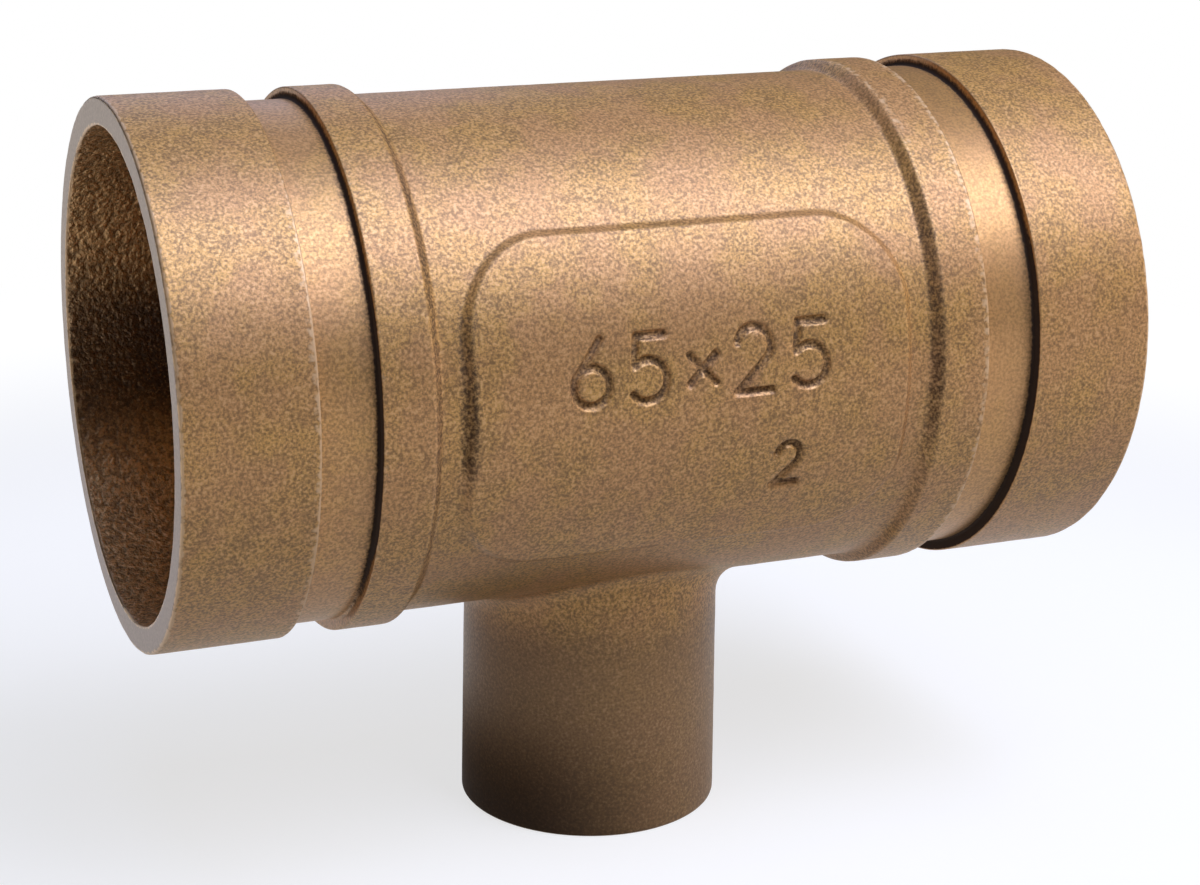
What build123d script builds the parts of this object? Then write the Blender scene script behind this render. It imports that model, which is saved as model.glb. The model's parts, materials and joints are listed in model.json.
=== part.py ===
from build123d import *
from math import radians, tan
import os

# Reducing tee cast in one piece: a straight run with a grooved end on each side,
# and a smaller branch that ends in a socket for soldered copper tube.
# Millimetres. The origin is the centre of the branch mouth, +X lies along the run
# and +Z along the branch, up to the run.

# Run, sized for copper tube of nominal size 2 1/2, with a plain body between its collars
RUN_TUBE_DIAMETER = 66.675
BODY_LENGTH = 59.4

# Grooved ends: the land carries the gasket, the groove takes the coupling's key
LAND_LENGTH = 15.8
GROOVE_WIDTH = 7.1
GROOVE_DEPTH = 1.5
WALL_UNDER_GROOVE = 2.05

# Collars beside the grooves, and the step from a land down to the body between them
COLLAR_CROWN_WIDTH = 5.7
COLLAR_FLANK_WIDTH = 3.2
COLLAR_DROP = 0.05
BODY_DROP = 1.39

# Branch, with a socket for copper tube of nominal size 1
BRANCH_TUBE_DIAMETER = 28.575
SOLDER_CLEARANCE = 0.065
CUP_DEPTH = 23.1
CUP_WALL = 2.6
CUP_STOP_WIDTH = 1.45
CUP_STOP_TO_RUN_BORE = 9.86
BRANCH_TAPER_ANGLE = 0.65

# Raised pad on the front of the body, where a foundry puts its marks
PAD_END_GAP = 1.2
PAD_WIDTH = 40.2
PAD_CORNER_RADIUS = 10.8
PAD_RISE = 1.0

# Rounded corners, and the small bevels that break the sharp edges
JUNCTION_RADIUS = 3.6
WATERWAY_CORNER_BREAK = 1.0
END_EDGE_BREAK = 0.5
GROOVE_EDGE_BREAK = 0.2
BORE_EDGE_BREAK = 0.3
MOUTH_EDGE_BREAK = 0.4
CUP_LEAD_IN = 0.4
PAD_EDGE_BREAK = 0.8

# Radii and stations that follow from the sizes above
LAND_RADIUS = RUN_TUBE_DIAMETER / 2
GROOVE_RADIUS = LAND_RADIUS - GROOVE_DEPTH
COLLAR_RADIUS = LAND_RADIUS - COLLAR_DROP
BODY_RADIUS = LAND_RADIUS - BODY_DROP
BORE_RADIUS = GROOVE_RADIUS - WALL_UNDER_GROOVE
CUP_RADIUS = BRANCH_TUBE_DIAMETER / 2 + SOLDER_CLEARANCE
MOUTH_RADIUS = CUP_RADIUS + CUP_WALL
WATERWAY_RADIUS = CUP_RADIUS - CUP_STOP_WIDTH
AXIS_HEIGHT = CUP_DEPTH + CUP_STOP_TO_RUN_BORE + BORE_RADIUS
FLANK_FOOT = BODY_LENGTH / 2
CROWN_EDGE = FLANK_FOOT + COLLAR_FLANK_WIDTH
COLLAR_FACE = CROWN_EDGE + COLLAR_CROWN_WIDTH
LAND_FACE = COLLAR_FACE + GROOVE_WIDTH
RUN_END = LAND_FACE + LAND_LENGTH


def bevelled(face, across, along, width):
    """The profile with the corner at one point bevelled."""
    corner = face.vertices().sort_by_distance((across, along))[0]
    return chamfer(corner, width)


def run_profile():
    """Half of the run's outside: body, soft flank, collar, groove and land."""
    body_line = Polyline((0, 0), (0, BODY_RADIUS), (FLANK_FOOT, BODY_RADIUS))
    flank = Spline(
        (FLANK_FOOT, BODY_RADIUS),
        (CROWN_EDGE, COLLAR_RADIUS),
        tangents=[(1, 0), (1, 0)],
    )
    end_line = Polyline(
        (CROWN_EDGE, COLLAR_RADIUS),
        (COLLAR_FACE, COLLAR_RADIUS),
        (COLLAR_FACE, GROOVE_RADIUS),
        (LAND_FACE, GROOVE_RADIUS),
        (LAND_FACE, LAND_RADIUS),
        (RUN_END, LAND_RADIUS),
        (RUN_END, 0),
        (0, 0),
    )
    profile = make_face(Curve() + [body_line, flank, end_line])
    profile = bevelled(profile, COLLAR_FACE, COLLAR_RADIUS, GROOVE_EDGE_BREAK)
    profile = bevelled(profile, LAND_FACE, LAND_RADIUS, GROOVE_EDGE_BREAK)
    return bevelled(profile, RUN_END, LAND_RADIUS, END_EDGE_BREAK)


def run_outside():
    """The run as a solid bar on X with a grooved end on each side."""
    half = revolve(Plane.XZ * run_profile(), Axis.X)
    return half + mirror(half, Plane.YZ)


def branch_outside():
    """The branch as a solid plug below the run's axis, slightly wider at its mouth."""
    top_radius = MOUTH_RADIUS - AXIS_HEIGHT * tan(radians(BRANCH_TAPER_ANGLE))
    profile = make_face(
        Polyline(
            (0, 0),
            (0, -AXIS_HEIGHT),
            (MOUTH_RADIUS, -AXIS_HEIGHT),
            (top_radius, 0),
            close=True,
        )
    )
    profile = bevelled(profile, MOUTH_RADIUS, -AXIS_HEIGHT, MOUTH_EDGE_BREAK)
    return revolve(Plane.XZ * profile, Axis.Z)


def run_waterway():
    """The bore through the run, with a small break at each end."""
    profile = make_face(
        Polyline(
            (-RUN_END, 0),
            (-RUN_END, BORE_RADIUS + BORE_EDGE_BREAK),
            (BORE_EDGE_BREAK - RUN_END, BORE_RADIUS),
            (RUN_END - BORE_EDGE_BREAK, BORE_RADIUS),
            (RUN_END, BORE_RADIUS + BORE_EDGE_BREAK),
            (RUN_END, 0),
            close=True,
        )
    )
    return revolve(Plane.XZ * profile, Axis.X)


def branch_waterway():
    """The bore of the branch: lead-in, socket, tube stop and waterway."""
    profile = make_face(
        Polyline(
            (0, 0),
            (0, -AXIS_HEIGHT),
            (CUP_RADIUS + CUP_LEAD_IN, -AXIS_HEIGHT),
            (CUP_RADIUS, CUP_LEAD_IN - AXIS_HEIGHT),
            (CUP_RADIUS, CUP_DEPTH - AXIS_HEIGHT),
            (WATERWAY_RADIUS, CUP_DEPTH - AXIS_HEIGHT),
            (WATERWAY_RADIUS, 0),
            close=True,
        )
    )
    return revolve(Plane.XZ * profile, Axis.Z)


def joined(run, branch, finish, width):
    """A run and its branch as one solid, with a fillet or chamfer along their meeting."""
    both = run + branch
    return finish(new_edges(run, branch, combined=both), width)


def pad():
    """The pad as a block drawn off the front, its face concentric with the body."""
    outline = RectangleRounded(BODY_LENGTH - 2 * PAD_END_GAP, PAD_WIDTH, PAD_CORNER_RADIUS)
    block = extrude(Plane.XZ * outline, LAND_RADIUS)
    face_bar = Rot(0, 90, 0) * Cylinder(BODY_RADIUS + PAD_RISE, BODY_LENGTH)
    crowned = block & face_bar
    face_edges = crowned.faces().sort_by(Axis.Y)[0].edges()
    return chamfer(face_edges, PAD_EDGE_BREAK)


def tee_body():
    """The whole casting, standing on its branch mouth."""
    outside = joined(run_outside() + pad(), branch_outside(), fillet, JUNCTION_RADIUS)
    inside = joined(run_waterway(), branch_waterway(), chamfer, WATERWAY_CORNER_BREAK)
    return Pos(0, 0, AXIS_HEIGHT) * (outside - inside)


os.makedirs("parts", exist_ok=True)
export_step(tee_body(), "parts/tee_body.step")
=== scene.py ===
import json
import math
from types import SimpleNamespace

import bmesh
import bpy
import numpy as np
from mathutils import Matrix, Vector, noise


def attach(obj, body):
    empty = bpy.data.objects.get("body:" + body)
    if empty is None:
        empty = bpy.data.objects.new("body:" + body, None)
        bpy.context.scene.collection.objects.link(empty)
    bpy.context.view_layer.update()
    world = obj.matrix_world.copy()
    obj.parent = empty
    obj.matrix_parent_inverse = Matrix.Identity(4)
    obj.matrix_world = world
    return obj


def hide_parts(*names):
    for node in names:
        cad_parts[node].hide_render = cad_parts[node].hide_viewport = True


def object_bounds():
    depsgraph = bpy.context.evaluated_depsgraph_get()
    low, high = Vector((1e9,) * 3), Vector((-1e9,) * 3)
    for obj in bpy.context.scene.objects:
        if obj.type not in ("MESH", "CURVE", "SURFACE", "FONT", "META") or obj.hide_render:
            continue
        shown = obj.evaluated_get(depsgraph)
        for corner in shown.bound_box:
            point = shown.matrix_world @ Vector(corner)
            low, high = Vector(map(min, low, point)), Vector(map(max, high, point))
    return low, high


# The tee's look: one closed skin over the casting, its finish, and a plain studio.
# Metres. +X lies along the run and +Z up the branch to the run, as in the frame.
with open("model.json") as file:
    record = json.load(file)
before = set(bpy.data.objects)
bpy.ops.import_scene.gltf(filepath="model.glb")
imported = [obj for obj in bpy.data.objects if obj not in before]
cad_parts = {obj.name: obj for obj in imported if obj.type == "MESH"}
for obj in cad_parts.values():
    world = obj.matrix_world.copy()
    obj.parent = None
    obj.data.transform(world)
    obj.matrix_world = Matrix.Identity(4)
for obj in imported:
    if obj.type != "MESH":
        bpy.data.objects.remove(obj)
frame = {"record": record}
cad_low, cad_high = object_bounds()

MM = 0.001
mounts = {mount["name"]: mount for mount in frame["record"]["mounts"]}

# Run, from the frame's interfaces and box
LAND_RADIUS = mounts["run_end_right"]["dims"]["r_mm"] * MM
AXIS_HEIGHT = mounts["run_end_right"]["pos_m"][2]
RUN_END = cad_high.x

# Grooved ends and collars
LAND_LENGTH = 15.8 * MM
GROOVE_WIDTH = 7.1 * MM
GROOVE_DEPTH = 1.5 * MM
WALL_UNDER_GROOVE = 2.05 * MM
COLLAR_CROWN_WIDTH = 5.7 * MM
COLLAR_FLANK_WIDTH = 3.2 * MM
FLANK_RISE = (0.4, 0.92)
FLANK_STEPS = 18
COLLAR_DROP = 0.05 * MM
BODY_DROP = 1.39 * MM

# Branch and the corners where it meets the run
CUP_RADIUS = mounts["branch_cup"]["dims"]["r_mm"] * MM
CUP_DEPTH = 23.1 * MM
CUP_WALL = 2.6 * MM
CUP_STOP_WIDTH = 1.45 * MM
BRANCH_TAPER = math.tan(math.radians(0.65))
JUNCTION_RADIUS = 3.6 * MM
WATERWAY_CORNER_RADIUS = 1.0 * MM

# Small rounds on the edges and in the corners
END_EDGE_RADIUS = 0.4 * MM
GROOVE_EDGE_RADIUS = 0.22 * MM
GROOVE_ROOT_RADIUS = 0.3 * MM
BORE_EDGE_RADIUS = 0.3 * MM
MOUTH_EDGE_RADIUS = 0.4 * MM
CUP_CORNER_RADIUS = 0.3 * MM

# Raised pad on the front, seen along Y
PAD_HALF_LENGTH = 28.05 * MM
PAD_HALF_WIDTH = 19.65 * MM
PAD_CORNER_RADIUS = 10.5 * MM
PAD_RISE = 0.9 * MM
PAD_WALL_WIDTH = 1.3 * MM

# Sunk figures on the pad: the nominal size of run and branch, and a plain number
SIZE_FIGURES = "65×25"
SIZE_HEIGHT = 7.6 * MM
SIZE_PLACE = (0.5 * MM, 4.5 * MM)
PLAIN_FIGURES = "2"
PLAIN_HEIGHT = 5.4 * MM
PLAIN_PLACE = (12.5 * MM, -9.0 * MM)
STROKE_WIDTH = 0.5 * MM
STROKE_SHOULDER = 0.36 * MM
STROKE_DEPTH = 0.55 * MM
FIGURE_GAP = 0.36

# Spacing of the mesh, and how many times a corner's rings are refined
COLUMNS = 240
BORE_COLUMNS = 120
HOLE_HALF_LENGTH = 22.3 * MM
HOLE_COLUMNS = 52
BORE_HOLE_HALF_LENGTH = 16.5 * MM
BORE_HOLE_STATIONS = 30
BORE_HOLE_COLUMNS = 22
SPLIT = 4
STEP = 0.9 * MM
BORE_STEP = 1.3 * MM
HOLD = 0.12 * MM
ARC_POINTS = 4
PAST_HOLE_COLUMNS = 9
FIGURE_ARC_POINTS = 12
SADDLE_RINGS = 7
CORNER_RINGS = 9
NECK_RINGS = 34
WATERWAY_RINGS = 7
BORE_CORNER_RINGS = 5
BORE_SADDLE_RINGS = 3
CORNER_ROUNDS = 4

# Casting skin: how far it strays inward, and over what length
SKIN_DEPTH = 0.05 * MM
BORE_SKIN_DEPTH = 0.22 * MM
SKIN_WAVE = 3.4 * MM
EDGE_NICK_DEPTH = 0.07 * MM
NICK_WAVE = 1.9 * MM
OVERTONE = 2.07
OVERTONE_SHARE = 0.32
WAVE_GAIN = 1.5

# How far wear with painted highlight, and dirt with painted shade, reach from an edge or a crease. A
# pair is for the left and right end.
EDGE_REACH = 0.5 * MM
COLLAR_EDGE_REACH = (0.5 * MM, 0.8 * MM)
CREASE_REACH = 0.48 * MM
FLANK_REACH = (0.7 * MM, 1.1 * MM)
PAD_END_REACH = 1.4 * MM
EDGE_CORE = 0.25
SHADE_CORE = 0.3

# How strong wear with painted highlight and painted shade with dirt are, and how smoothly the grooves
# are turned
COLLAR_WEAR_AND_HIGHLIGHT = (0.3, 0.7)
RIGHT_LAND_WEAR_AND_HIGHLIGHT = 0.2
CROWN_WEAR_AND_HIGHLIGHT = 0.5
FAINT_SHADE_AND_DIRT = 0.25
FLANK_SHADE = 0.4
LEFT_FLANK_EXTRA = 0.1
PAD_FOOT_SHADE_AND_DIRT = 0.17
PAD_END_SHADE = 0.42
FIGURE_SHADE = 0.45
GROOVE_FINISHES = (0.4, 0.65)

# Where they fade in, none to full, as heights from the run's axis over the land's radius
LAND_WEAR_AND_HIGHLIGHT_RISE = (0.967, 0.633)
CROWN_WEAR_AND_HIGHLIGHT_RISE = (0.6, 0.85)
COLLAR_SHADE_RISE = (-0.95, -0.45)
LEFT_FLANK_RISE = (0.333, 0.667)
RIGHT_FLANK_TOP = (0.85, 0.55)
RIGHT_FLANK_FOOT = (-0.45, 0.05)
PAD_END_TOP = (0.483, 0.317)
PAD_END_FOOT = (-0.35, -0.1)

# Painted shade and dirt on a groove's wall: its height over the groove's depth, and where it gets
# thinner
WALL_SHADE_HEIGHT = 0.75
THINNER_ABOVE = 0.55
THINNER_ABOVE_RISE = (0.333, 0.889)
THINNER_BELOW = 0.6
THINNER_BELOW_RISE = (-0.36, -0.76)

# Painted shade in a band on the inner walls, and painted shade towards the branch's mouth
DEEP_REACH = 17 * MM
DEEP_TOP = (0.35, -0.05)
DEEP_FOOT = (-0.62, -0.27)
DEEP_LEAST = 0.15
DEEP_AT_END = 0.78
MOUTH_SHADE_REACH = 24 * MM
MOUTH_SHADE_SIDE = (0.538, -1)
MOUTH_SHADE_LEAST = 0.3

# Stations and radii that follow, and the heights between which the branch turns brown, as patina with
# painted shade
BODY_RADIUS = LAND_RADIUS - BODY_DROP
COLLAR_RADIUS = LAND_RADIUS - COLLAR_DROP
GROOVE_RADIUS = LAND_RADIUS - GROOVE_DEPTH
BORE_RADIUS = GROOVE_RADIUS - WALL_UNDER_GROOVE
LAND_FACE = RUN_END - LAND_LENGTH
COLLAR_FACE = LAND_FACE - GROOVE_WIDTH
CROWN_EDGE = COLLAR_FACE - COLLAR_CROWN_WIDTH
FLANK_FOOT = CROWN_EDGE - COLLAR_FLANK_WIDTH
FLANK_MIDDLE = FLANK_FOOT + sum(FLANK_RISE) / 2 * COLLAR_FLANK_WIDTH
MOUTH_RADIUS = CUP_RADIUS + CUP_WALL
WATERWAY_RADIUS = CUP_RADIUS - CUP_STOP_WIDTH
BROWN_FROM = -0.93 * BODY_RADIUS
BROWN_TO = BROWN_FROM - 3 * JUNCTION_RADIUS

# Bronze: linear colours, how metallic it is, and the lengths and heights of its grain
GOLD_BRONZE = (0.62, 0.340, 0.095, 1)
OLIVE_BRONZE = (0.46, 0.250, 0.082, 1)
ROSE_BRONZE = (0.57, 0.295, 0.115, 1)
TURNED_BRONZE = (0.62, 0.335, 0.130, 1)
FACED_BRONZE = (0.33, 0.215, 0.142, 1)
# Worn bare metal at the edges, also used as a painted highlight on edges and for painted glints
WORN_AND_HIGHLIT_BRONZE = (0.82, 0.540, 0.290, 1)
# Brown patina of the branch, darkened as painted shade under the run
BROWN_SHADED_BRONZE = (0.34, 0.185, 0.068, 1)
# Painted shade at the branch's mouth and left side
MOUTH_SHADE_BRONZE = (0.035, 0.016, 0.007, 1)
# Inner walls painted bright, standing in for the light that reaches the bore
INNER_LIT_BRONZE = (0.95, 0.560, 0.230, 1)
# Painted shade deep in the bore
INNER_SHADE_BRONZE = (0.055, 0.024, 0.012, 1)
# Painted shade in the creases, with some dirt
CREASE_SHADE_BRONZE = (0.040, 0.020, 0.009, 1)
METALLIC = 0.3
BRANCH_METALLIC = 0.1
TURNED_METALLIC = 0.5
SPECULAR = 0.58
SPECK_LENGTH = 0.37 * MM
GRIT_LENGTH = 0.85 * MM
PEEL_LENGTH = 2.4 * MM
CLOUD_LENGTH = 9 * MM
GRIT_HEIGHT = 0.028 * MM
INNER_GRIT = 12
SPECK_SHARE = 0.4

# How the bronze is mixed: shares, and ranges of a grain with what they turn into
PEEL_SHARE = 0.4
MOTTLE_RANGE = (0.4, 0.6)
ROSE_RANGE = (0.4, 0.62, 0.1, 0.8)
BROWN_SHARE = 0.75
MOUTH_SHADE_SHARE = 0.95
PIT_RANGE = (0.4, 0.56, 0.6, 1.0)
TURNED_SHARE = 0.8
GLINT_RANGE = (0.56, 0.68)
GLINT_SHARE = 0.3
GLINT_IN_MOUTH_SHADE = 0.2
SPECKLE_RANGE = (0.3, 0.6, -0.4, 0.14)
WORN_AND_HIGHLIT_SPREAD = (0.3, 0.7, -0.35, 0.35)
WORN_AND_HIGHLIT_RANGE = (0.35, 0.9, 0.0, 0.9)
SHADE_SPECK_RANGE = (0.35, 0.65, 0.1, -0.1)
SHADE_GRIT_RANGE = (0.35, 0.65, 0.08, -0.08)
SHADE_RANGE = (0.0, 0.9)
SHADE_EDGE_RANGE = (0.0, 0.4)
BRANCH_EVENNESS = 0.5
EVEN_CONTRAST = 0.3
ROUGHNESS_RANGE = (0.35, 0.65, 0.47, 0.43)
TURNED_POLISH = 0.1
SHADE_AND_DIRT_ROUGHNESS = 0.9

# What the mesh carries for its material
MASKS = ("turned", "edge", "crease", "face", "inside", "deep", "branch", "tarnish")

# Studio
WHITE = (1, 1, 1, 1)
BLACK = (0, 0, 0, 1)
AMBIENT = 0.02
FLOOR_SIZE = 6.0
FLOOR_DROP = 0.02 * MM
FLOOR_COLOUR = (0.33, 0.33, 0.33, 1)
FLOOR_BOUNCE = (0.06, 0.06, 0.06, 1)
FLOOR_GLOW = 0.7
FLOOR_CLEAR = (0.12, 0.3)
LAMP_SPREAD = 0.7
LAMP_DISTANCE = 0.65
TOP_POWER = 0.8
TOP_ELEVATION = 82
TOP_TINT = (0.80, 1.0, 1.62)
SIDE_POWER = 3.6
SIDE_AZIMUTH = 38
SIDE_ELEVATION = 57
SIDE_TINT = (0.94, 1.0, 1.26)
BACK_POWER = 0.4
BACK_ELEVATION = 28
FILL_POWER = 0.14
FILL_DISTANCE = 0.3
FILL_AZIMUTH = 65
FILL_ELEVATION = 16
FILL_TINT = (1.0, 0.82, 0.6)
END_POWER = 0.2
END_AZIMUTH = -72
END_ELEVATION = 26

# Camera: what it looks at is given from the crossing of the two axes
CAMERA_LENS = 76.23
CAMERA_DISTANCE = 330.19 * MM
CAMERA_YAW = math.radians(22.54)
CAMERA_PITCH = math.radians(17.585)
CAMERA_ROLL = math.radians(0.913)
CAMERA_TARGET = Vector((1.138 * MM, 0, -14.783 * MM))


# Lines and rings


def smooth(share):
    """A soft step from 0 to 1."""
    share = np.clip(share, 0, 1)
    return share * share * (3 - 2 * share)


def fade(value, none, full):
    """A soft step that is 0 where a value is at none, and 1 where it is at full."""
    return smooth((value - none) / (full - none))


def unit(vector):
    """The vector at length one."""
    return vector / np.linalg.norm(vector)


def stretch(start, end, step):
    """Points from start to end, with one close to each end to hold the shading flat."""
    length = np.linalg.norm(end - start)
    hold = min(HOLD, length / 4)
    count = max(1, round((length - 2 * hold) / step))
    along = [0, *np.linspace(hold, length - hold, count + 1), length]
    return [start + unit(end - start) * distance for distance in along]


def rounded_line(corners, radii, step):
    """Points along a line with square corners, each rounded to its own radius."""
    corners = [np.array(corner) for corner in corners]
    points = [corners[0]]
    for before, at, after, radius in zip(corners, corners[1:], corners[2:], radii):
        back = unit(before - at) * radius
        ahead = unit(after - at) * radius
        centre = at + back + ahead
        points += stretch(points[-1], at + back, step)[1:]
        for turn in np.linspace(0, math.pi / 2, ARC_POINTS)[1:]:
            points.append(centre - ahead * math.cos(turn) - back * math.sin(turn))
    return points + stretch(points[-1], corners[-1], step)[1:]


def mirrored(half):
    """Stations of a half run from mid-length outwards, with their mirror image before them."""
    half = np.array(half)
    return np.concatenate([half[:0:-1] * (-1, 1), half])


def flank_rise(share):
    """How far a collar's flank has risen: it lies low at its foot, and is steep near the crown."""
    return fade(share, *FLANK_RISE)


def outside_stations():
    """Stations (x, radius) along the run's outside, from one end face to the other."""
    over_hole = np.linspace(0, HOLE_HALF_LENGTH, HOLE_COLUMNS // 2 + 1)
    past_hole = np.linspace(HOLE_HALF_LENGTH, FLANK_FOOT, PAST_HOLE_COLUMNS + 1)[1:]
    half = [(x, BODY_RADIUS) for x in (*over_hole, *past_hole)]
    for share in np.linspace(0, 1, FLANK_STEPS + 1)[1:]:
        rise = (COLLAR_RADIUS - BODY_RADIUS) * flank_rise(share)
        half.append((FLANK_FOOT + COLLAR_FLANK_WIDTH * share, BODY_RADIUS + rise))
    half += rounded_line(
        [
            (CROWN_EDGE, COLLAR_RADIUS),
            (COLLAR_FACE, COLLAR_RADIUS),
            (COLLAR_FACE, GROOVE_RADIUS),
            (LAND_FACE, GROOVE_RADIUS),
            (LAND_FACE, LAND_RADIUS),
            (RUN_END, LAND_RADIUS),
            (RUN_END, LAND_RADIUS - 2 * END_EDGE_RADIUS),
        ],
        [
            GROOVE_EDGE_RADIUS,
            GROOVE_ROOT_RADIUS,
            GROOVE_ROOT_RADIUS,
            GROOVE_EDGE_RADIUS,
            END_EDGE_RADIUS,
        ],
        STEP,
    )[1:]
    return mirrored(half)


def bore_stations():
    """Stations (x, radius) along the bore, from one end face to the other."""
    over_hole = np.linspace(0, BORE_HOLE_HALF_LENGTH, BORE_HOLE_STATIONS // 2 + 1)
    to_end = rounded_line(
        [
            (RUN_END, BORE_RADIUS + 2 * BORE_EDGE_RADIUS),
            (RUN_END, BORE_RADIUS),
            (BORE_HOLE_HALF_LENGTH, BORE_RADIUS),
        ],
        [BORE_EDGE_RADIUS],
        BORE_STEP,
    )
    return mirrored([*((x, BORE_RADIUS) for x in over_hole), *to_end[-2::-1]])


# Relief on the front of the body


def pad_edge(x, z):
    """How far a place lies outside the middle of the pad's wall, seen along Y."""
    across = np.abs(x) - PAD_HALF_LENGTH + PAD_CORNER_RADIUS
    up = np.abs(z) - PAD_HALF_WIDTH + PAD_CORNER_RADIUS
    outside = np.hypot(np.maximum(across, 0), np.maximum(up, 0))
    return outside + np.minimum(np.maximum(across, up), 0) - PAD_CORNER_RADIUS


def arc(across, up, radius, first, last):
    """A stroke along an arc between two angles in degrees."""
    angles = np.radians(np.linspace(first, last, FIGURE_ARC_POINTS))
    return [(across + radius * math.cos(a), up + radius * math.sin(a)) for a in angles]


def shifted(strokes, across, up, scale):
    """Strokes made smaller and moved."""
    return [[(across + scale * s, up + scale * t) for s, t in stroke] for stroke in strokes]


TWO = [[*arc(0.29, 0.7, 0.29, 165, -38), (0.0, 0.0), (0.6, 0.0)]]
FIVE = [[(0.55, 1.0), (0.1, 1.0), (0.05, 0.56), *arc(0.27, 0.33, 0.32, 118, -140)]]
SIX = [[(0.46, 1.0), (0.08, 0.5), *arc(0.3, 0.31, 0.3, 150, -210)]]
TIMES = [[(0.02, 0.2), (0.46, 0.64)], [(0.02, 0.64), (0.46, 0.2)]]
FIGURES = {"2": TWO, "5": FIVE, "6": SIX, "×": TIMES}


def figure_strokes(text, height, place):
    """The strokes of a row of figures, centred on a place."""
    strokes = []
    reach = 0
    for figure in text:
        strokes += shifted(FIGURES[figure], reach, 0, 1)
        reach = max(s for stroke in strokes for s, t in stroke) + FIGURE_GAP
    width = reach - FIGURE_GAP
    return shifted(strokes, place[0] - width * height / 2, place[1] - height / 2, height)


def stroke_distance(x, z):
    """The distance to the nearest stroke, seen along Y."""
    strokes = figure_strokes(SIZE_FIGURES, SIZE_HEIGHT, SIZE_PLACE)
    strokes += figure_strokes(PLAIN_FIGURES, PLAIN_HEIGHT, PLAIN_PLACE)
    nearest = np.full(np.shape(x), np.inf)
    for stroke in strokes:
        for (s0, t0), (s1, t1) in zip(stroke, stroke[1:]):
            run, climb = s1 - s0, t1 - t0
            share = ((x - s0) * run + (z - t0) * climb) / (run * run + climb * climb)
            share = np.clip(share, 0, 1)
            nearest = np.minimum(nearest, np.hypot(x - s0 - share * run, z - t0 - share * climb))
    return nearest


def in_stroke(x, z):
    """How deep a place lies in a stroke: 1 at its bottom and 0 outside it."""
    return smooth(1 - (stroke_distance(x, z) - STROKE_WIDTH / 2) / STROKE_SHOULDER)


def relief(x, z):
    """How far the front of the body stands out at a place, seen along Y."""
    pad = PAD_RISE * smooth(0.5 - pad_edge(x, z) / PAD_WALL_WIDTH)
    return pad - STROKE_DEPTH * in_stroke(x, z)


# The skin


class Skin:
    """The points and faces of one closed mesh, about the crossing of the two axes."""

    def __init__(self):
        self.points = np.zeros((0, 3))
        self.inside = np.zeros(0)
        self.depth = np.zeros(0)
        self.faces = []

    def add(self, points, inside, depth):
        """Add points, with how much of an inner wall they are and how deep their skin is."""
        first = len(self.points)
        self.points = np.concatenate([self.points, points])
        self.inside = np.concatenate([self.inside, np.full(len(points), inside)])
        self.depth = np.concatenate([self.depth, np.full(len(points), depth)])
        return list(range(first, len(self.points)))

    def band(self, first, second):
        """Faces between two closed rings, where the second may have half the points."""
        ratio = len(first) // len(second)
        for k in range(len(second)):
            near = [first[(k * ratio + step) % len(first)] for step in range(ratio + 1)]
            self.faces.append([*near, second[(k + 1) % len(second)], second[k]])

    def drop_unused(self):
        """Forget the points that no face uses, such as those over the branch's waterway."""
        used = np.unique([number for face in self.faces for number in face])
        renumbered = np.zeros(len(self.points), int)
        renumbered[used] = np.arange(len(used))
        self.faces = [[int(renumbered[number]) for number in face] for face in self.faces]
        self.points = self.points[used]
        self.inside = self.inside[used]
        self.depth = self.depth[used]


def on_run(x, radius, angle):
    """Places on the run at an angle from straight below, towards the front."""
    return np.stack([x, -radius * np.sin(angle), -radius * np.cos(angle)], axis=-1)


def hole_border(rows, half_columns):
    """The grid corners round the hole over the branch, in order from +X towards +Y."""
    low, high = rows
    border = [(high, -column) for column in range(half_columns)]
    border += [(row, -half_columns) for row in range(high, low, -1)]
    border += [(low, column) for column in range(-half_columns, half_columns)]
    border += [(row, half_columns) for row in range(low, high)]
    border += [(high, column) for column in range(half_columns, 0, -1)]
    return border


def in_hole(row, column, rows, half_columns, columns):
    """Whether a grid cell lies in the hole over the branch."""
    column = (column + half_columns) % columns
    return rows[0] <= row < rows[1] and column < 2 * half_columns


def fine_cells(stations):
    """Which cells of the run's outside are split: those of the pad's wall and the figures."""
    x = (stations[:-1, 0] + stations[1:, 0])[:, None] / 2
    radius = (stations[:-1, 1] + stations[1:, 1])[:, None] / 2
    angle = (np.arange(COLUMNS) + 0.5)[None] * 2 * math.pi / COLUMNS
    z = -radius * np.cos(angle)
    x = x + 0 * z
    wall = np.abs(pad_edge(x, z)) < PAD_WALL_WIDTH / 2 + STEP / 2
    stroke = stroke_distance(x, z) < STROKE_WIDTH / 2 + STROKE_SHOULDER + STEP / 2
    return (wall | stroke) & (np.sin(angle) > 0) & (np.abs(x) < FLANK_FOOT)


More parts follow.
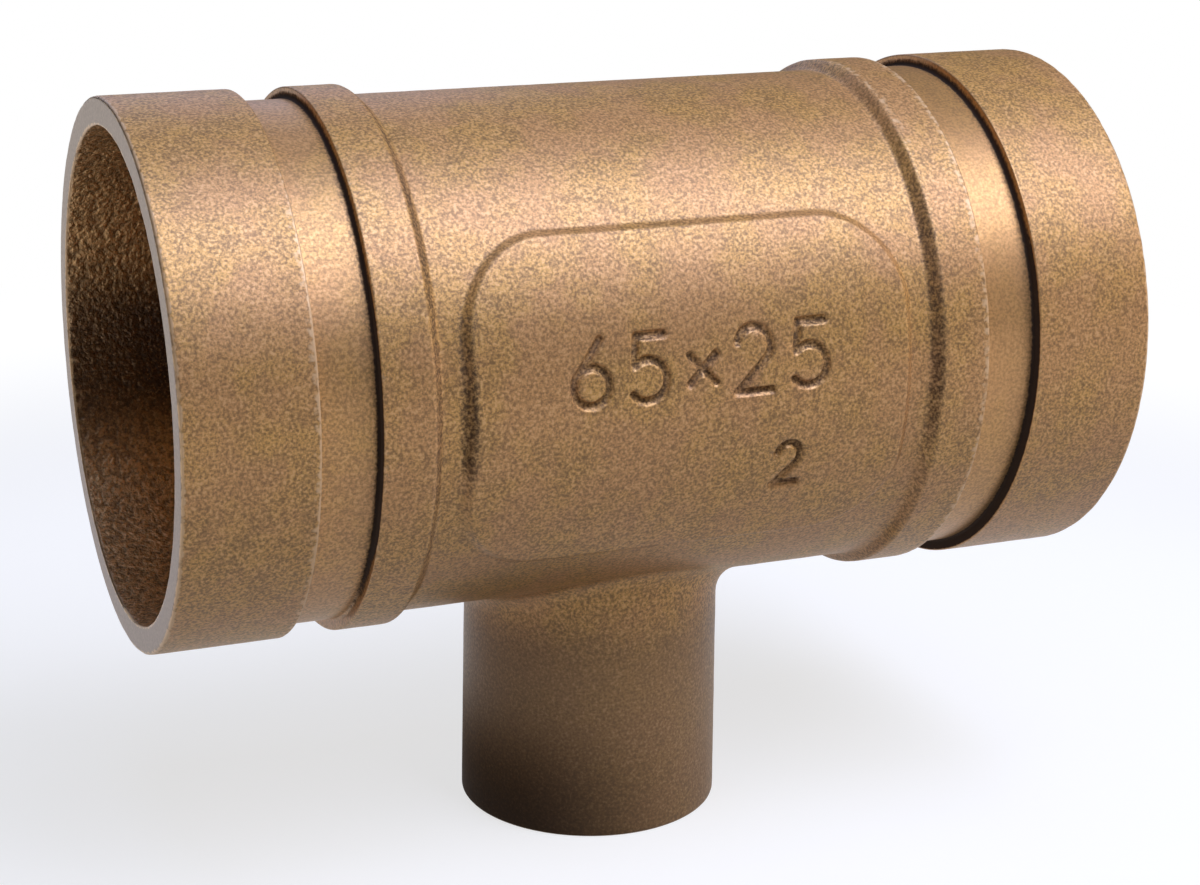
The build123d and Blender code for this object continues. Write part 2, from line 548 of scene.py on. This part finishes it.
class Lattice:
    """Numbers for the corners of the run's outside, on a grid with SPLIT steps to a cell."""

    def __init__(self, fine):
        self.fine = fine
        self.numbers = {}

    def corner(self, row, column):
        """The number of a corner, whose place is given in fine steps."""
        key = (row, column % (COLUMNS * SPLIT))
        return self.numbers.setdefault(key, len(self.numbers))

    def is_fine(self, row, column):
        """Whether a cell is split."""
        return 0 <= row < len(self.fine) and self.fine[row, column % COLUMNS]

    def split_cell(self, row, column):
        """The faces of a cell that is split."""
        faces = []
        for i in range(row * SPLIT, (row + 1) * SPLIT):
            for j in range(column * SPLIT, (column + 1) * SPLIT):
                cell = [(i, j), (i, j + 1), (i + 1, j + 1), (i + 1, j)]
                faces.append([self.corner(*place) for place in cell])
        return faces

    def whole_cell(self, row, column):
        """The face of a whole cell, with every corner on the sides that it shares with split ones."""
        top, left = row * SPLIT, column * SPLIT
        sides = [
            (top, left, 0, 1, self.is_fine(row - 1, column)),
            (top, left + SPLIT, 1, 0, self.is_fine(row, column + 1)),
            (top + SPLIT, left + SPLIT, 0, -1, self.is_fine(row + 1, column)),
            (top + SPLIT, left, -1, 0, self.is_fine(row, column - 1)),
        ]
        face = []
        for i, j, down, along, shared in sides:
            steps = range(SPLIT if shared else 1)
            face += [self.corner(i + down * step, j + along * step) for step in steps]
        return face

    def points(self, stations):
        """The places of all corners so far, with the relief on the front."""
        row, column = np.array(list(self.numbers)).T / SPLIT
        order = np.arange(len(stations))
        x = np.interp(row, order, stations[:, 0])
        radius = np.interp(row, order, stations[:, 1])
        angle = column * 2 * math.pi / COLUMNS
        raised = np.where(np.sin(angle) > 0, relief(x, -radius * np.cos(angle)), 0)
        return on_run(x, radius + raised, angle)


def run_outside(skin):
    """The run's outside as a grid, finer where there is relief. Returns its border rings."""
    stations = outside_stations()
    last = len(stations) - 1
    half_columns = HOLE_COLUMNS // 2
    rows = (len(stations) // 2 - half_columns, len(stations) // 2 + half_columns)
    lattice = Lattice(fine_cells(stations))
    for row in range(last):
        for column in range(COLUMNS):
            if in_hole(row, column, rows, half_columns, COLUMNS):
                continue
            if lattice.is_fine(row, column):
                skin.faces += lattice.split_cell(row, column)
            else:
                skin.faces.append(lattice.whole_cell(row, column))
    skin.add(lattice.points(stations), 0.0, SKIN_DEPTH)
    hole = [lattice.corner(i * SPLIT, j * SPLIT) for i, j in hole_border(rows, half_columns)]
    ends = [[lattice.corner(i * SPLIT, j * SPLIT) for j in range(COLUMNS)] for i in (0, last)]
    return hole, ends


def run_inside(skin):
    """The bore as a grid. Returns its border rings."""
    stations = bore_stations()
    middle = len(stations) // 2
    rows = (middle - BORE_HOLE_STATIONS // 2, middle + BORE_HOLE_STATIONS // 2)
    half_columns = BORE_HOLE_COLUMNS // 2
    angle = np.arange(BORE_COLUMNS) * 2 * math.pi / BORE_COLUMNS
    rings = []
    for x, radius in stations:
        rings.append(skin.add(on_run(x + 0 * angle, radius, angle), 1.0, BORE_SKIN_DEPTH))
    for row, (first, second) in enumerate(zip(rings, rings[1:])):
        for column in range(BORE_COLUMNS):
            if in_hole(row, column, rows, half_columns, BORE_COLUMNS):
                continue
            after = (column + 1) % BORE_COLUMNS
            skin.faces.append([first[column], first[after], second[after], second[column]])
    hole = [rings[i][j] for i, j in hole_border(rows, half_columns)]
    return hole, [rings[0], rings[-1]]


def neck_radius(z):
    """The branch's outer radius at a height from the run's axis."""
    return MOUTH_RADIUS - BRANCH_TAPER * (z + AXIS_HEIGHT)


def waterway_radius(z):
    """The radius of the branch's waterway, the same all the way up."""
    return WATERWAY_RADIUS + 0 * z


def corner_rings(turns, run_radius, branch_radius, radius, shares):
    """Rings round the corner of a run and a branch, as a ball of that radius leaves them."""
    z = -run_radius + 0 * turns
    for _ in range(CORNER_ROUNDS):
        reach = branch_radius(z) + radius
        z = -np.sqrt((run_radius + radius) ** 2 - (reach * np.sin(turns)) ** 2)
    centre = np.stack([reach * np.cos(turns), reach * np.sin(turns), z], axis=-1)
    share = run_radius / (run_radius + radius)
    to_run = (centre * (1, share, share) - centre) / radius
    to_branch = np.stack([-np.cos(turns), -np.sin(turns), 0 * turns], axis=-1)
    angle = np.arccos(np.sum(to_run * to_branch, axis=-1, keepdims=True))
    rings = []
    for part in shares:
        side = np.sin((1 - part) * angle) * to_run + np.sin(part * angle) * to_branch
        rings.append(centre + radius * side / np.sin(angle))
    return rings


def patch_rings(border, target, radius, count):
    """Rings on a cylinder that lead from a hole's border to a ring beside the corner."""
    def unrolled(ring):
        return ring[:, 0], np.arctan2(-ring[:, 1], -ring[:, 2])

    (x0, angle0), (x1, angle1) = unrolled(border), unrolled(target)
    shares = np.linspace(0, 1, count + 1)[1:-1]
    return [on_run(x0 + (x1 - x0) * s, radius, angle0 + (angle1 - angle0) * s) for s in shares]


def around(turns, radius, z):
    """A level ring round the branch's axis."""
    return np.stack([radius * np.cos(turns), radius * np.sin(turns), z + 0 * turns], axis=-1)


def branch_outside(skin, hole):
    """The saddle, the rounded corner and the branch, down to its mouth. Returns the last ring."""
    turns = np.arange(len(hole)) * 2 * math.pi / len(hole)
    shares = np.linspace(0, 1, CORNER_RINGS)
    corner = corner_rings(turns, BODY_RADIUS, neck_radius, JUNCTION_RADIUS, shares)
    rings = patch_rings(skin.points[hole], corner[0], BODY_RADIUS, SADDLE_RINGS) + corner
    top = corner[-1][:, 2]
    bottom = MOUTH_EDGE_RADIUS - AXIS_HEIGHT
    for share in np.linspace(0, 1, NECK_RINGS + 1)[1:]:
        z = top + (bottom - top) * share
        rings.append(around(turns, neck_radius(z), z))
    mouth = rounded_line(
        [
            (MOUTH_RADIUS, 2 * MOUTH_EDGE_RADIUS),
            (MOUTH_RADIUS, 0),
            (MOUTH_RADIUS - 2 * MOUTH_EDGE_RADIUS, 0),
        ],
        [MOUTH_EDGE_RADIUS],
        STEP,
    )
    below_neck = [(r, z) for r, z in mouth if z < MOUTH_EDGE_RADIUS - HOLD / 2]
    rings += [around(turns, r, z - AXIS_HEIGHT) for r, z in below_neck]
    return join_rings(skin, hole, rings, 0.0, SKIN_DEPTH)


def branch_inside(skin, hole, mouth):
    """The socket, its stop, the waterway and the corner into the bore."""
    turns = np.arange(len(hole)) * 2 * math.pi / len(hole)
    line = rounded_line(
        [
            (CUP_RADIUS + 2 * CUP_CORNER_RADIUS, 0),
            (CUP_RADIUS, 0),
            (CUP_RADIUS, CUP_DEPTH),
            (WATERWAY_RADIUS, CUP_DEPTH),
            (WATERWAY_RADIUS, CUP_DEPTH + 2 * CUP_CORNER_RADIUS),
        ],
        [CUP_CORNER_RADIUS] * 3,
        BORE_STEP,
    )
    socket = [around(turns, r, z - AXIS_HEIGHT) for r, z in line]
    mouth = join_rings(skin, mouth, socket, 1.0, 0.0)
    rings = []
    shares = np.linspace(1, 0, BORE_CORNER_RINGS)
    corner = corner_rings(turns, BORE_RADIUS, waterway_radius, WATERWAY_CORNER_RADIUS, shares)
    bottom, top = socket[-1][:, 2], corner[0][:, 2]
    for share in np.linspace(0, 1, WATERWAY_RINGS + 1)[1:-1]:
        rings.append(around(turns, WATERWAY_RADIUS, bottom + (top - bottom) * share))
    rings += corner
    rings += patch_rings(skin.points[hole], corner[-1], BORE_RADIUS, BORE_SADDLE_RINGS)[::-1]
    last = join_rings(skin, mouth, rings, 1.0, BORE_SKIN_DEPTH)
    skin.band(last, hole)


def join_rings(skin, start, rings, inside, depth):
    """Add rings one after another, each joined to the one before. Returns the last."""
    for ring in rings:
        numbers = skin.add(ring, inside, depth)
        skin.band(start, numbers)
        start = numbers
    return start


def make_skin():
    """The whole casting as one closed skin."""
    skin = Skin()
    hole, ends = run_outside(skin)
    bore_hole, bore_ends = run_inside(skin)
    for outer, inner in zip(ends, bore_ends):
        skin.band(outer, inner)
    mouth = branch_outside(skin, hole)
    branch_inside(skin, bore_hole, mouth)
    skin.drop_unused()
    return skin


def within(distance, reach, core=EDGE_CORE):
    """1 up to that core of the reach, fading to 0 as far past the reach."""
    return smooth(1 + core - distance / reach)


def near(at, x, radius, reach=EDGE_REACH):
    """How near places lie to a ring on the run."""
    return within(np.hypot(at.x - x, at.radius - radius), reach)


def on_wall(at, x, top):
    """How near places lie to a groove's wall, fading fast past that top radius."""
    past = np.maximum(at.radius - top, 0) * 2
    return within(np.hypot(at.x - x, past), CREASE_REACH)


def placed(skin):
    """Where the skin's points lie: which side, how far from mid-length and axis, and how high."""
    along, y, z = skin.points.T
    return SimpleNamespace(
        along=along,
        x=np.abs(along),
        z=z,
        radius=np.hypot(y, z),
        height=z + AXIS_HEIGHT,
        rise=z / LAND_RADIUS,
        on_left=along < 0,
        on_front=(y < 0) & (np.abs(along) < FLANK_FOOT),
    )


def worn_and_highlit_edges(at):
    """How worn the edges are, as wear with a painted highlight: those of the grooves, the right collar
    and the end faces.
    """
    collar = np.where(at.on_left, *COLLAR_WEAR_AND_HIGHLIGHT)
    land = np.where(at.on_left, fade(at.rise, *LAND_WEAR_AND_HIGHLIGHT_RISE), RIGHT_LAND_WEAR_AND_HIGHLIGHT)
    crown = np.where(at.on_left, 0, CROWN_WEAR_AND_HIGHLIGHT * fade(at.rise, *CROWN_WEAR_AND_HIGHLIGHT_RISE))
    edges = [
        collar * near(at, COLLAR_FACE, COLLAR_RADIUS, np.where(at.on_left, *COLLAR_EDGE_REACH)),
        land * near(at, LAND_FACE, LAND_RADIUS),
        crown * near(at, CROWN_EDGE, COLLAR_RADIUS),
        near(at, RUN_END, LAND_RADIUS),
        near(at, RUN_END, BORE_RADIUS),
    ]
    return np.max(edges, axis=0)


def groove_shade_and_dirt(at):
    """Painted shade with some dirt on the walls of the grooves, most on the left collar's and the
    right land's, which face away from the side lamp.
    """
    thinner = THINNER_ABOVE * fade(at.rise, *THINNER_ABOVE_RISE)
    thinner += at.on_left * THINNER_BELOW * fade(at.rise, *THINNER_BELOW_RISE)
    top = GROOVE_RADIUS + (WALL_SHADE_HEIGHT - thinner) * GROOVE_DEPTH
    collar = np.where(at.on_left, fade(at.rise, *COLLAR_SHADE_RISE), FAINT_SHADE_AND_DIRT)
    land = np.where(at.on_left, FAINT_SHADE_AND_DIRT, 1)
    return np.maximum(collar * on_wall(at, COLLAR_FACE, top), land * on_wall(at, LAND_FACE, top))


def flank_shade(at):
    """Painted shade along the steep middle of each collar's flank."""
    left = FLANK_SHADE + LEFT_FLANK_EXTRA * fade(at.rise, *LEFT_FLANK_RISE)
    right = FLANK_SHADE * fade(at.rise, *RIGHT_FLANK_TOP) * (1 + fade(at.rise, *RIGHT_FLANK_FOOT)) / 2
    reach = np.where(at.on_left, *FLANK_REACH)
    return np.where(at.on_left, left, right) * within(np.abs(at.x - FLANK_MIDDLE), reach, SHADE_CORE)


def front_shade_and_dirt(at):
    """Painted shade and dirt along the foot of the pad, and painted shade at its left end and in the
    figures.
    """
    edge = pad_edge(at.x, at.z)
    at_end = (at.x > PAD_HALF_LENGTH - PAD_CORNER_RADIUS / 2) & at.on_left
    end = PAD_END_SHADE * fade(at.rise, *PAD_END_TOP) * fade(at.rise, *PAD_END_FOOT)
    shade_and_dirt = [
        PAD_FOOT_SHADE_AND_DIRT * within(np.abs(edge - PAD_WALL_WIDTH / 2), CREASE_REACH),
        at_end * end * within(np.abs(edge), PAD_END_REACH, SHADE_CORE),
        FIGURE_SHADE * in_stroke(at.along, at.z),
    ]
    return at.on_front * np.max(shade_and_dirt, axis=0)


def deep_shade(at):
    """How dark the inner walls are, as painted shade: most in a band along the run, and further in."""
    depth = fade(at.x, RUN_END, RUN_END - DEEP_REACH)
    band = fade(at.rise, *DEEP_TOP) * fade(at.rise, *DEEP_FOOT)
    return np.maximum(DEEP_LEAST * depth, band * (DEEP_AT_END + (1 - DEEP_AT_END) * depth))


def painted_mouth_shade(at):
    """Painted shade on the branch: most at its mouth and on its left."""
    leftness = fade(at.along / MOUTH_RADIUS, *MOUTH_SHADE_SIDE)
    return fade(at.height, MOUTH_SHADE_REACH, 0) * (MOUTH_SHADE_LEAST + (1 - MOUTH_SHADE_LEAST) * leftness)


def finish_masks(skin):
    """Where the skin is turned, worn with a painted highlight, painted with shade and dirt, inside or
    on the branch, each from 0 to 1.
    """
    at = placed(skin)
    outside = skin.inside == 0
    on_face = (at.x > RUN_END - HOLD / 2) | (at.height < HOLD / 2)
    in_groove = (at.x > COLLAR_FACE - HOLD) & (at.x < LAND_FACE + HOLD) & outside
    shade_and_dirt = np.max([groove_shade_and_dirt(at), flank_shade(at), front_shade_and_dirt(at)], axis=0)
    branch = fade(at.z, BROWN_FROM, BROWN_TO) * (at.x < HOLE_HALF_LENGTH)
    return {
        "turned": np.where(on_face, 1.0, in_groove * np.where(at.on_left, *GROOVE_FINISHES)),
        "edge": worn_and_highlit_edges(at),
        "crease": shade_and_dirt * outside,
        "face": on_face,
        "inside": np.where(on_face, 0.0, skin.inside),
        "deep": deep_shade(at) * skin.inside,
        "branch": branch * outside,
        "tarnish": painted_mouth_shade(at) * outside,
    }


def waves(places, length):
    """Soft noise from -1 to 1 with that wavelength, and a share at half of it."""
    values = []
    for place in places:
        at = Vector(place) / length
        overtone = noise.noise(at * OVERTONE)
        values.append((1 - OVERTONE_SHARE) * noise.noise(at) + OVERTONE_SHARE * overtone)
    return np.clip(WAVE_GAIN * np.array(values), -1, 1)


def roughen(mesh, skin, masks):
    """Let the cast skin stray inward a little, and nick its edges."""
    points = np.zeros(len(mesh.vertices) * 3)
    normals = np.zeros(len(mesh.vertices) * 3)
    mesh.vertices.foreach_get("co", points)
    mesh.vertices.foreach_get("normal", normals)
    points, normals = points.reshape(-1, 3), normals.reshape(-1, 3)
    depth = skin.depth * (1 - masks["turned"]) * (0.5 + 0.5 * waves(points, SKIN_WAVE))
    nick = masks["edge"] * EDGE_NICK_DEPTH * np.clip(waves(points, NICK_WAVE), 0, 1)
    on_mouth = points[:, 2] < HOLD / 2
    inward = np.where(on_mouth, 0, depth + nick)
    points -= normals * inward[:, None]
    mesh.vertices.foreach_set("co", points.ravel())
    mesh.update()


def skin_mesh(skin, mesh_name):
    """The skin as a mesh with its faces turned outwards, standing on the branch mouth."""
    mesh = bpy.data.meshes.new(mesh_name)
    mesh.from_pydata((skin.points + (0, 0, AXIS_HEIGHT)).tolist(), [], skin.faces)
    work = bmesh.new()
    work.from_mesh(mesh)
    bmesh.ops.recalc_face_normals(work, faces=work.faces)
    work.to_mesh(mesh)
    work.free()
    mesh.polygons.foreach_set("use_smooth", np.ones(len(mesh.polygons), bool))
    masks = finish_masks(skin)
    roughen(mesh, skin, masks)
    for name in MASKS:
        mesh.attributes.new(name, "FLOAT", "POINT").data.foreach_set("value", masks[name])
    return mesh


# Materials


def add_node(tree, kind, inputs=None, **settings):
    """Add a node, set its options, and set or link its inputs."""
    node = tree.nodes.new(kind)
    for name, value in settings.items():
        setattr(node, name, value)
    for name, value in (inputs or {}).items():
        if isinstance(value, bpy.types.NodeSocket):
            tree.links.new(value, node.inputs[name])
        else:
            node.inputs[name].default_value = value
    return node


def grain(tree, place, length, detail=2.0, rough=0.5):
    """Noise about 0.5 at a wavelength in metres."""
    inputs = {"Vector": place, "Scale": 1 / length, "Detail": detail, "Roughness": rough}
    return add_node(tree, "ShaderNodeTexNoise", inputs).outputs["Fac"]


def ranged(tree, value, low, high, first=0.0, last=1.0):
    """A value's way from low to high, as a number from first to last."""
    inputs = {"Value": value, "From Min": low, "From Max": high, "To Min": first, "To Max": last}
    node = add_node(tree, "ShaderNodeMapRange", inputs, interpolation_type="SMOOTHSTEP")
    return node.outputs["Result"]


def maths(tree, operation, first, second):
    """One sum on two numbers."""
    return add_node(tree, "ShaderNodeMath", {0: first, 1: second}, operation=operation).outputs[0]


def blended(tree, share, first, second):
    """One colour turning into another."""
    inputs = {"Factor": share, 6: first, 7: second}
    return add_node(tree, "ShaderNodeMix", inputs, data_type="RGBA").outputs[2]


def dimmed(tree, colour, factor):
    """A colour times a number."""
    node = add_node(tree, "ShaderNodeVectorMath", {0: colour, "Scale": factor}, operation="SCALE")
    return node.outputs["Vector"]


def mask(tree, name):
    """One of the mesh's own masks."""
    return add_node(tree, "ShaderNodeAttribute", attribute_name=name).outputs["Fac"]


def finish_parts(tree):
    """The grains and the mesh's masks that the bronze is mixed from."""
    place = add_node(tree, "ShaderNodeTexCoord").outputs["Object"]
    parts = SimpleNamespace(
        speck=grain(tree, place, SPECK_LENGTH, 2.0, 0.6),
        grit=grain(tree, place, GRIT_LENGTH),
        peel=grain(tree, place, PEEL_LENGTH),
        cloud=grain(tree, place, CLOUD_LENGTH, 3.0),
        **{name: mask(tree, name) for name in MASKS},
    )
    evenness = maths(tree, "MULTIPLY", parts.branch, BRANCH_EVENNESS)
    evenness = maths(tree, "MAXIMUM", parts.turned, evenness)
    parts.contrast = ranged(tree, evenness, 0, 1, 1.0, EVEN_CONTRAST)
    return parts


def cast_colour(tree, parts):
    """Mottled bronze, browner and darker on the branch as patina with painted shade, and with painted
    shade towards its mouth.
    """
    peel = maths(tree, "MULTIPLY", parts.peel, PEEL_SHARE)
    speck = maths(tree, "MULTIPLY", parts.speck, 1 - PEEL_SHARE)
    mottle = ranged(tree, maths(tree, "ADD", peel, speck), *MOTTLE_RANGE)
    colour = blended(tree, mottle, OLIVE_BRONZE, GOLD_BRONZE)
    colour = blended(tree, ranged(tree, parts.cloud, *ROSE_RANGE), colour, ROSE_BRONZE)
    colour = blended(tree, maths(tree, "MULTIPLY", parts.branch, BROWN_SHARE), colour, BROWN_SHADED_BRONZE)
    return blended(tree, maths(tree, "MULTIPLY", parts.tarnish, MOUTH_SHADE_SHARE), colour, MOUTH_SHADE_BRONZE)


def wall_colour(tree, parts, colour):
    """The colour, with the pitted inner walls painted bright as painted light and darker further in as
    painted shade, the turned grooves and the end faces over it.
    """
    pitted = dimmed(tree, INNER_LIT_BRONZE[:3], ranged(tree, parts.grit, *PIT_RANGE))
    colour = blended(tree, parts.inside, colour, pitted)
    colour = blended(tree, parts.deep, colour, INNER_SHADE_BRONZE)
    colour = blended(tree, maths(tree, "MULTIPLY", parts.turned, TURNED_SHARE), colour, TURNED_BRONZE)
    return blended(tree, parts.face, colour, FACED_BRONZE)


def grained_colour(tree, parts, colour):
    """The colour, with painted glints as highlights, a speckle and bare metal with a painted highlight
    at the worn edges.
    """
    # Painted highlights: bright glints in the grain
    glint = maths(tree, "MULTIPLY", ranged(tree, parts.speck, *GLINT_RANGE), parts.contrast)
    glint = maths(tree, "MULTIPLY", glint, ranged(tree, parts.tarnish, 0, 1, 1.0, GLINT_IN_MOUTH_SHADE))
    colour = blended(tree, maths(tree, "MULTIPLY", glint, GLINT_SHARE), colour, WORN_AND_HIGHLIT_BRONZE)
    speckle = maths(tree, "MULTIPLY", ranged(tree, parts.speck, *SPECKLE_RANGE), parts.contrast)
    colour = dimmed(tree, colour, maths(tree, "ADD", speckle, 1.0))
    worn_and_highlit = maths(tree, "ADD", parts.edge, ranged(tree, parts.grit, *WORN_AND_HIGHLIT_SPREAD))
    return blended(tree, ranged(tree, worn_and_highlit, *WORN_AND_HIGHLIT_RANGE), colour, WORN_AND_HIGHLIT_BRONZE)


def shade_and_grime(tree, parts):
    """How much painted shade, with some dirt, there is: it lies along the creases, with a ragged edge.
    """
    ragged = maths(tree, "ADD", parts.crease, ranged(tree, parts.speck, *SHADE_SPECK_RANGE))
    ragged = maths(tree, "ADD", ragged, ranged(tree, parts.grit, *SHADE_GRIT_RANGE))
    in_crease = ranged(tree, parts.crease, *SHADE_EDGE_RANGE)
    return maths(tree, "MULTIPLY", ranged(tree, ragged, *SHADE_RANGE), in_crease)


def metal_share(tree, parts, shade_and_dirt):
    """How metallic the bronze is: most inside and where it is turned, and least under the painted
    shade and dirt.
    """
    metallic = ranged(tree, parts.branch, 0, 1, METALLIC, BRANCH_METALLIC)
    shiny = maths(tree, "MAXIMUM", parts.inside, parts.turned)
    metallic = ranged(tree, shiny, 0, 1, metallic, TURNED_METALLIC)
    return maths(tree, "MULTIPLY", metallic, maths(tree, "SUBTRACT", 1.0, shade_and_dirt))


def dullness(tree, parts, shade_and_dirt):
    """How rough the bronze is: least where it is turned, and most under the painted shade and dirt and
    the painted shade at the branch's mouth.
    """
    roughness = ranged(tree, parts.speck, *ROUGHNESS_RANGE)
    polish = maths(tree, "MULTIPLY", parts.turned, TURNED_POLISH)
    roughness = maths(tree, "SUBTRACT", roughness, polish)
    dull = maths(tree, "MAXIMUM", shade_and_dirt, parts.tarnish)
    return ranged(tree, dull, 0, 1, roughness, SHADE_AND_DIRT_ROUGHNESS)


def fine_relief(tree, parts):
    """The grain as relief, coarser on the inner walls."""
    coarser = ranged(tree, parts.inside, 0, 1, 1.0, INNER_GRIT)
    height = maths(tree, "ADD", parts.peel, maths(tree, "MULTIPLY", parts.grit, coarser))
    height = maths(tree, "ADD", height, maths(tree, "MULTIPLY", parts.speck, SPECK_SHARE))
    inputs = {"Height": height, "Distance": GRIT_HEIGHT, "Strength": parts.contrast}
    return add_node(tree, "ShaderNodeBump", inputs).outputs["Normal"]


def bronze():
    """Blasted cast bronze, with its turned grooves and faces, worn edges with painted highlights,
    painted shade in the creases, and inner walls painted with light and a dark band of shade.
    """
    material = bpy.data.materials.new("cast_bronze_skin")
    material.use_nodes = True
    tree = material.node_tree
    surface = tree.nodes["Principled BSDF"]
    parts = finish_parts(tree)
    shade_and_dirt = shade_and_grime(tree, parts)
    colour = wall_colour(tree, parts, cast_colour(tree, parts))
    # Painted shade and dirt over the creases
    colour = blended(tree, shade_and_dirt, grained_colour(tree, parts, colour), CREASE_SHADE_BRONZE)
    tree.links.new(colour, surface.inputs["Base Color"])
    tree.links.new(metal_share(tree, parts, shade_and_dirt), surface.inputs["Metallic"])
    tree.links.new(dullness(tree, parts, shade_and_dirt), surface.inputs["Roughness"])
    tree.links.new(fine_relief(tree, parts), surface.inputs["Normal"])
    surface.inputs["Specular IOR Level"].default_value = SPECULAR
    return material


# Studio


def seen_directly(tree):
    """1 for camera, glossy and transmission rays, and 0 for the light that surfaces pass on."""
    rays = add_node(tree, "ShaderNodeLightPath").outputs
    seen = maths(tree, "MAXIMUM", rays["Is Camera Ray"], rays["Is Glossy Ray"])
    return maths(tree, "MAXIMUM", seen, rays["Is Transmission Ray"])


def light_world():
    """A faint, even light from all round."""
    world = bpy.data.worlds.new("studio")
    world.use_nodes = True
    bpy.context.scene.world = world
    background = world.node_tree.nodes["Background"]
    background.inputs["Color"].default_value = WHITE
    background.inputs["Strength"].default_value = AMBIENT


def floor_paint():
    """A pale glow that keeps the shadow where it is seen, and dark grey to bounced light."""
    material = bpy.data.materials.new("floor")
    material.use_nodes = True
    tree = material.node_tree
    tree.nodes.remove(tree.nodes["Principled BSDF"])
    seen = seen_directly(tree)
    place = add_node(tree, "ShaderNodeTexCoord").outputs["Object"]
    away = add_node(tree, "ShaderNodeVectorMath", {0: place}, operation="LENGTH").outputs["Value"]
    clear = ranged(tree, away, *FLOOR_CLEAR)
    paint = blended(tree, clear, FLOOR_COLOUR, BLACK)
    paint = blended(tree, seen, FLOOR_BOUNCE, paint)
    matt = add_node(tree, "ShaderNodeBsdfDiffuse", {"Color": paint})
    strength = maths(tree, "MULTIPLY", seen, ranged(tree, clear, 0, 1, FLOOR_GLOW, 1.0))
    glow = add_node(tree, "ShaderNodeEmission", {"Color": WHITE, "Strength": strength})
    both = add_node(tree, "ShaderNodeAddShader", {0: matt.outputs[0], 1: glow.outputs[0]})
    tree.links.new(both.outputs[0], tree.nodes["Material Output"].inputs["Surface"])
    return material


def lay_floor():
    """A pale floor that keeps the object's shadow."""
    half = FLOOR_SIZE / 2
    mesh = bpy.data.meshes.new("floor")
    corners = [(-half, -half), (half, -half), (half, half), (-half, half)]
    mesh.from_pydata([(x, y, -FLOOR_DROP) for x, y in corners], [], [(0, 1, 2, 3)])
    mesh.materials.append(floor_paint())
    floor = bpy.data.objects.new("floor", mesh)
    bpy.context.scene.collection.objects.link(floor)


def hang_lamp(name, power, tint, azimuth, elevation, distance=LAMP_DISTANCE):
    """A soft square lamp: azimuth 0 is in front, on -Y, and 90 is to the right, on +X."""
    lamp = bpy.data.lights.new(name, "AREA")
    lamp.shape = "SQUARE"
    lamp.size = LAMP_SPREAD * distance
    lamp.energy = power
    lamp.color = tint
    turn, lift = math.radians(azimuth), math.radians(elevation)
    way = Vector((math.sin(turn) * math.cos(lift), -math.cos(turn) * math.cos(lift), math.sin(lift)))
    holder = bpy.data.objects.new(name, lamp)
    holder.location = Vector((0, 0, AXIS_HEIGHT)) + way * distance
    holder.rotation_euler = way.to_track_quat("Z", "Y").to_euler()
    bpy.context.scene.collection.objects.link(holder)


def place_camera():
    """The camera at the photograph's viewing angle."""
    level = Vector((math.sin(CAMERA_YAW), math.cos(CAMERA_YAW), 0))
    ahead = level * math.cos(CAMERA_PITCH) - Vector((0, 0, math.sin(CAMERA_PITCH)))
    right = Vector((math.cos(CAMERA_YAW), -math.sin(CAMERA_YAW), 0))
    up = right.cross(ahead)
    tilted_right = right * math.cos(CAMERA_ROLL) + up * math.sin(CAMERA_ROLL)
    tilted_up = up * math.cos(CAMERA_ROLL) - right * math.sin(CAMERA_ROLL)
    lens = bpy.data.cameras.new("camera")
    lens.lens = CAMERA_LENS
    camera = bpy.data.objects.new("camera", lens)
    turn = Matrix((tilted_right, tilted_up, -ahead)).transposed()
    at = Vector((0, 0, AXIS_HEIGHT)) + CAMERA_TARGET - ahead * CAMERA_DISTANCE
    camera.matrix_world = Matrix.Translation(at) @ turn.to_4x4()
    bpy.context.scene.collection.objects.link(camera)
    bpy.context.scene.camera = camera


def make_tee():
    """The casting, in place of the plain solid."""
    mesh = skin_mesh(make_skin(), "tee_casting")
    mesh.materials.append(bronze())
    tee = bpy.data.objects.new("tee_casting", mesh)
    bpy.context.scene.collection.objects.link(tee)
    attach(tee, "root")
    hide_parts("tee_body")


make_tee()
light_world()
lay_floor()
hang_lamp("top", TOP_POWER, TOP_TINT, 0, TOP_ELEVATION)
hang_lamp("back", BACK_POWER, TOP_TINT, 180, BACK_ELEVATION)
hang_lamp("side", SIDE_POWER, SIDE_TINT, SIDE_AZIMUTH, SIDE_ELEVATION)
hang_lamp("fill", FILL_POWER, FILL_TINT, FILL_AZIMUTH, FILL_ELEVATION, FILL_DISTANCE)
hang_lamp("end", END_POWER, FILL_TINT, END_AZIMUTH, END_ELEVATION)
place_camera()
bpy.context.scene.view_settings.view_transform = "Standard"
